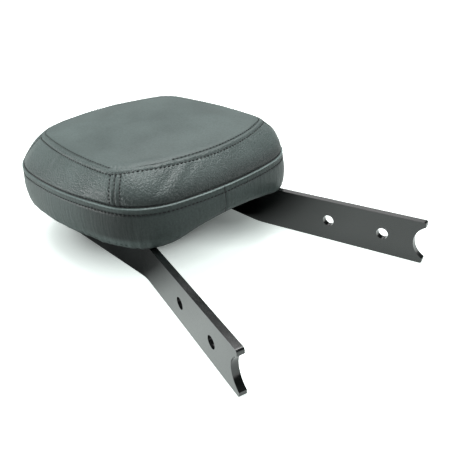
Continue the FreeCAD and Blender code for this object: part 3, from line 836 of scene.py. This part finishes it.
# rows round the pad, at their distances from the welt and the face seam
WELT_ROW, SEAM_ROW = 0.3, 1.0
welt_row = round_line(band_points, band_down, WELT_ROW, False)
seam_row = round_line(crown_points, crown_run, SEAM_ROW, True)
top_row = round_line(boxing_points[::-1], box_down[::-1], TOP_ROW, False)
band_row = round_line(band_points, band_down, BAND_ROW, False)
stitches("stitch_welt", welt_row, thick=0.5, fill=0.6, proud=0.1)
stitches("stitch_face_seam", seam_row, thick=0.40, proud=0.05, hidden=rolled_over)
stitches("stitch_face_topstitch", top_row)
stitches("stitch_band_topstitch", band_row, thick=0.46, fill=0.64)
# the rows at a corner stop short of the welt and of the face seam
ABOVE_WELT, BELOW_SEAM = 2.0, 6.0


def column_line(points, turn, offset):
    """A line up the boxing beside a corner seam."""
    n = normals(points)
    along, across = from_corner_seam(points[:, :, 0], points[:, :, 1], turn)
    up = run_length(points, 0)
    rows, cols = points.shape[:2]
    out, facing = [], []
    for r in range(rows):
        if not ABOVE_WELT <= up[r].mean() <= up[-1].mean() - BELOW_SEAM:
            continue
        c = int(np.argmin(np.where(along[r] > 0, np.abs(across[r] - offset), FAR)))
        near = (c + 1) % cols if across[r, c] < offset else (c - 1) % cols
        here, there = across[r, c], across[r, near]
        t = 0.0 if abs(there - here) < TINY else np.clip((offset - here) / (there - here), 0, 1)
        out.append(points[r, c] * (1 - t) + points[r, near] * t)
        facing.append(n[r, c])
    return np.array(out), np.array(facing)


corner_rows = [column_line(boxing_points, turn, offset)
               for turn in CORNER_TURNS for offset in (-SIDE_ROW, SIDE_ROW)]
corner_seams = [column_line(boxing_points, turn, 0.0) for turn in CORNER_TURNS]
stitches("stitch_corner_rows", corner_rows)
stitches("stitch_corner_seams", corner_seams, thick=0.34, fill=0.82, proud=0.0)

# floor: pale to the camera, duller in reflections and as a source of bounced light
FLOOR_HALF, FLOOR_BELOW = 9, 0.0002
PALE_LOW, PALE_HIGH = (0.88, 0.90, 0.89, 1), (0.90, 0.92, 0.91, 1)
BOUNCED_TONE, MIRRORED_TONE = (0.28, 0.295, 0.29, 1), (0.30, 0.315, 0.31, 1)
GLOW_TINT = (0.91, 1.0, 0.965, 1)
# painted shadow on the floor: its white glow, to the camera and in reflections, is held back near these two
# places below the part and grows away from them: distance in metres and glow
UNDER_PAD, UNDER_BAR = (-0.012, 0.075, 0), (0.06, 0.015, 0)
PAD_GLOW = [(0.055, 0.0), (0.078, 0.44), (0.098, 0.72), (0.115, 0.90), (0.14, 0.95), (0.9, 1.0)]
BAR_GLOW = [(0.02, 0.3), (0.04, 0.5), (0.075, 1.0)]
MIRRORED_GLOW = [(0.106, 0.0), (0.145, 0.55), (0.2, 0.75)]

corners = [(-FLOOR_HALF, -FLOOR_HALF, 0), (FLOOR_HALF, -FLOOR_HALF, 0),
           (FLOOR_HALF, FLOOR_HALF, 0), (-FLOOR_HALF, FLOOR_HALF, 0)]
floor = mesh_object("floor", corners, [(0, 1, 2, 3)])
floor.location.z = -FLOOR_BELOW
floor_paint, ground, floor_shader = new_material("floor_paint")
floor_shader.inputs["Roughness"].default_value = 0.9
floor_shader.inputs["Specular IOR Level"].default_value = 0.0
ground_spot = object_place(ground)
rays = ground.nodes.new("ShaderNodeLightPath").outputs
pale = ramp(ground, grain(ground, ground_spot, scale=3.0, detail=2.0), [(0.3, PALE_LOW), (0.7, PALE_HIGH)])
dull = colour_mix(ground, rays["Is Glossy Ray"], BOUNCED_TONE, MIRRORED_TONE)
ground.links.new(colour_mix(ground, rays["Is Camera Ray"], dull, pale), floor_shader.inputs["Base Color"])
from_pad = vector(ground, "DISTANCE", ground_spot, UNDER_PAD, output="Value")
from_bar = vector(ground, "DISTANCE", ground_spot, UNDER_BAR, output="Value")
round_pad = grey_ramp(ground, from_pad, PAD_GLOW)
round_bar = grey_ramp(ground, from_bar, BAR_GLOW)
# painted shadow on the floor: less glow near the pad and the bar
painted_shadow_glow = number(ground, "MULTIPLY", round_pad, round_bar)
seen = number(ground, "MULTIPLY", rays["Is Camera Ray"], painted_shadow_glow)
mirrored = grey_ramp(ground, from_pad, MIRRORED_GLOW)
shine = number(ground, "MULTIPLY_ADD", rays["Is Glossy Ray"], mirrored, seen)
glow = add(ground, "ShaderNodeEmission", Color=GLOW_TINT, Strength=shine)
lit = ground.nodes.new("ShaderNodeAddShader")
ground.links.new(floor_shader.outputs[0], lit.inputs[0])
ground.links.new(glow.outputs[0], lit.inputs[1])
# seen from below the floor is open, so that the underside shows
clear = ground.nodes.new("ShaderNodeBsdfTransparent")
one_way = ground.nodes.new("ShaderNodeMixShader")
ground.links.new(ground.nodes.new("ShaderNodeNewGeometry").outputs["Backfacing"], one_way.inputs[0])
ground.links.new(lit.outputs[0], one_way.inputs[1])
ground.links.new(clear.outputs[0], one_way.inputs[2])
ground.links.new(one_way.outputs[0], ground.nodes["Material Output"].inputs["Surface"])
floor.data.materials.append(floor_paint)

# world: bright from behind, above and the left, dim from the front
SKY_TINT, SKY_TOWARD = (0.94, 1.0, 0.985, 1), (-0.70, 0.50, 0.51)
SKY_DIM, SKY_BRIGHT = 0.02, 0.24
# the backdrop is white to the camera, and in reflections up to this height over the horizon
HORIZON_WHITE, HORIZON_END = 0.04, 0.16
world = bpy.data.worlds.new("studio")
bpy.context.scene.world = world
world.use_nodes = True
sky = world.node_tree


def sky_fade(value, low, high, first, last):
    node = sky.nodes.new("ShaderNodeMapRange")
    node.interpolation_type = "SMOOTHSTEP"
    for key, limit in (("From Min", low), ("From Max", high), ("To Min", first), ("To Max", last)):
        node.inputs[key].default_value = limit
    sky.links.new(value, node.inputs["Value"])
    return node.outputs[0]


light_sky = sky.nodes["Background"]
light_sky.inputs["Color"].default_value = SKY_TINT
sky_way = sky.nodes.new("ShaderNodeTexCoord").outputs["Generated"]
toward = vector(sky, "DOT_PRODUCT", sky_way, SKY_TOWARD, output="Value")
sky.links.new(sky_fade(toward, 0.0, 1.0, SKY_DIM, SKY_BRIGHT), light_sky.inputs["Strength"])
backdrop = add(sky, "ShaderNodeBackground", Color=(1, 1, 1, 1), Strength=1.0)
paths = sky.nodes.new("ShaderNodeLightPath").outputs
height = add(sky, "ShaderNodeSeparateXYZ", Vector=sky_way).outputs["Z"]
low_sky = sky_fade(height, HORIZON_WHITE, HORIZON_END, 1.0, 0.0)
bounced = number(sky, "MAXIMUM", paths["Is Glossy Ray"], paths["Is Transmission Ray"])
whiten = number(sky, "MAXIMUM", paths["Is Camera Ray"], number(sky, "MULTIPLY", bounced, low_sky))
choose = sky.nodes.new("ShaderNodeMixShader")
sky.links.new(whiten, choose.inputs[0])
sky.links.new(light_sky.outputs[0], choose.inputs[1])
sky.links.new(backdrop.outputs[0], choose.inputs[2])
sky.links.new(choose.outputs[0], sky.nodes["World Output"].inputs["Surface"])


# lamps and camera
def aimed(place, aim):
    return (Vector(aim) - Vector(place)).to_track_quat("-Z", "Y")


def softbox(name, place, aim, size, power):
    light = bpy.data.lights.new(name, "AREA")
    light.shape = "RECTANGLE"
    light.size, light.size_y = size
    light.energy = power
    obj = link(name, light)
    obj.location = place
    obj.rotation_euler = aimed(place, aim).to_euler()


softbox("overhead", place=(0.26, 0.32, 1.4), aim=(0.26, 0.32, 0), size=(1.2, 1.2), power=21)
softbox("left_back", place=(-1.2, 0.70, 0.24), aim=(0, 0.05, 0.06), size=(1.0, 0.4), power=8)
softbox("front_strip", place=(-0.5, -0.62, 1.35), aim=(0, 0, 0.1), size=(0.7, 0.22), power=2.0)
softbox("right_front", place=(0.85, -0.9, 0.55), aim=(0, 0, 0.08), size=(0.5, 0.5), power=2.8)
softbox("right_back", place=(2.2, 1.35, 1.35), aim=(0, 0, 0.05), size=(1.0, 0.9), power=2.6)

# the photograph's camera: where it stands, what it looks at and its roll in degrees,
# then its focal length in pixels of a square frame
EYE, AIM, ROLL = (-0.27889, -0.37326, 0.26885), (-0.02137, -0.07227, 0.05), -3.762
FRAME_PIXELS, FOCAL_PIXELS, SENSOR = 452, 544.21, 36.0
camera_data = bpy.data.cameras.new("camera")
camera_data.sensor_width = SENSOR
camera_data.lens = FOCAL_PIXELS / FRAME_PIXELS * SENSOR
camera_data.clip_start, camera_data.clip_end = 0.01, 50
camera = link("camera", camera_data)
rolled = aimed(EYE, AIM) @ Quaternion((0, 0, 1), math.radians(ROLL))
camera.matrix_world = Matrix.Translation(EYE) @ rolled.to_matrix().to_4x4()
bpy.context.scene.camera = camera
bpy.context.scene.view_settings.view_transform = "Standard"
